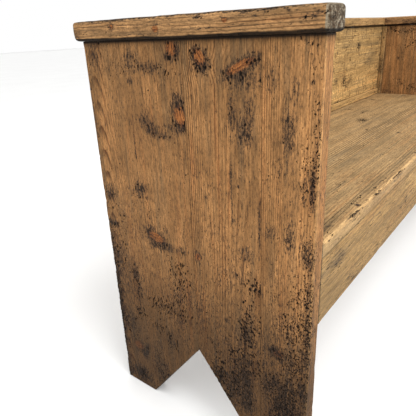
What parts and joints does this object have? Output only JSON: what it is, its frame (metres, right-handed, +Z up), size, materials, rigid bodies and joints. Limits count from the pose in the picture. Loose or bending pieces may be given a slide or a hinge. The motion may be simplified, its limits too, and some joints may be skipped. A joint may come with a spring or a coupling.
{
  "type": "church pew",
  "caption": "Plain pine church pew: plank ends with V-notched feet, rounded caps, low boarded back with a rail cap, plank seat over a deep front apron.",
  "frame": {"origin": "on the floor, at the centre of the bounding box: half way along the pew and half way from front to back of the caps", "axes": "+X runs along the pew, +Y points to its back, +Z is up; a sitter faces -Y"},
  "size_m": [1.628, 0.466, 0.778],
  "materials": {
    "end_board": "waxed reclaimed pine, vertical grain, knots and worm holes",
    "cap_wood": "waxed reclaimed pine, worn arrises, weathered end grain",
    "back_board": "waxed reclaimed pine, saw marks and pits",
    "strip_wood": "waxed pine strip",
    "seat_board": "greyish worn pine, grain along the seat",
    "apron_wood": "waxed reclaimed pine, grain along the pew",
    "frame_wood": "bare sawn pine",
    "dowel_wood": "plain beech dowel",
    "nail_iron": "dark rusted iron nail",
    "screw_steel": "dulled steel wood screw"
  },
  "bodies": {
    "root": {"left_end_rear_board": "end_board", "left_end_middle_board": "end_board", "left_end_front_board": "end_board", "right_end_rear_board": "end_board", "right_end_middle_board": "end_board", "right_end_front_board": "end_board", "left_end_cap": "cap_wood", "right_end_cap": "cap_wood", "back_rail_cap": "cap_wood", "back_upper_board": "back_board", "back_lower_board": "back_board", "back_base_strip": "strip_wood", "left_corner_strip": "strip_wood", "right_corner_strip": "strip_wood", "seat_front_board": "seat_board", "seat_rear_board": "seat_board", "front_apron": "apron_wood", "rear_rail": "frame_wood", "left_back_cleat": "frame_wood", "right_back_cleat": "frame_wood", "back_centre_batten": "frame_wood", "left_seat_bearer": "frame_wood", "right_seat_bearer": "frame_wood", "centre_seat_bearer": "frame_wood", "left_front_block": "frame_wood", "right_front_block": "frame_wood", "left_rear_block": "frame_wood", "right_rear_block": "frame_wood", "left_end_dowels": "dowel_wood", "right_end_dowels": "dowel_wood", "cap_nails": "nail_iron", "seat_nails": "nail_iron", "back_nails": "nail_iron", "strip_pins": "nail_iron", "bearer_screws": "screw_steel", "cleat_screws": "screw_steel"}
  },
  "joints": []
}
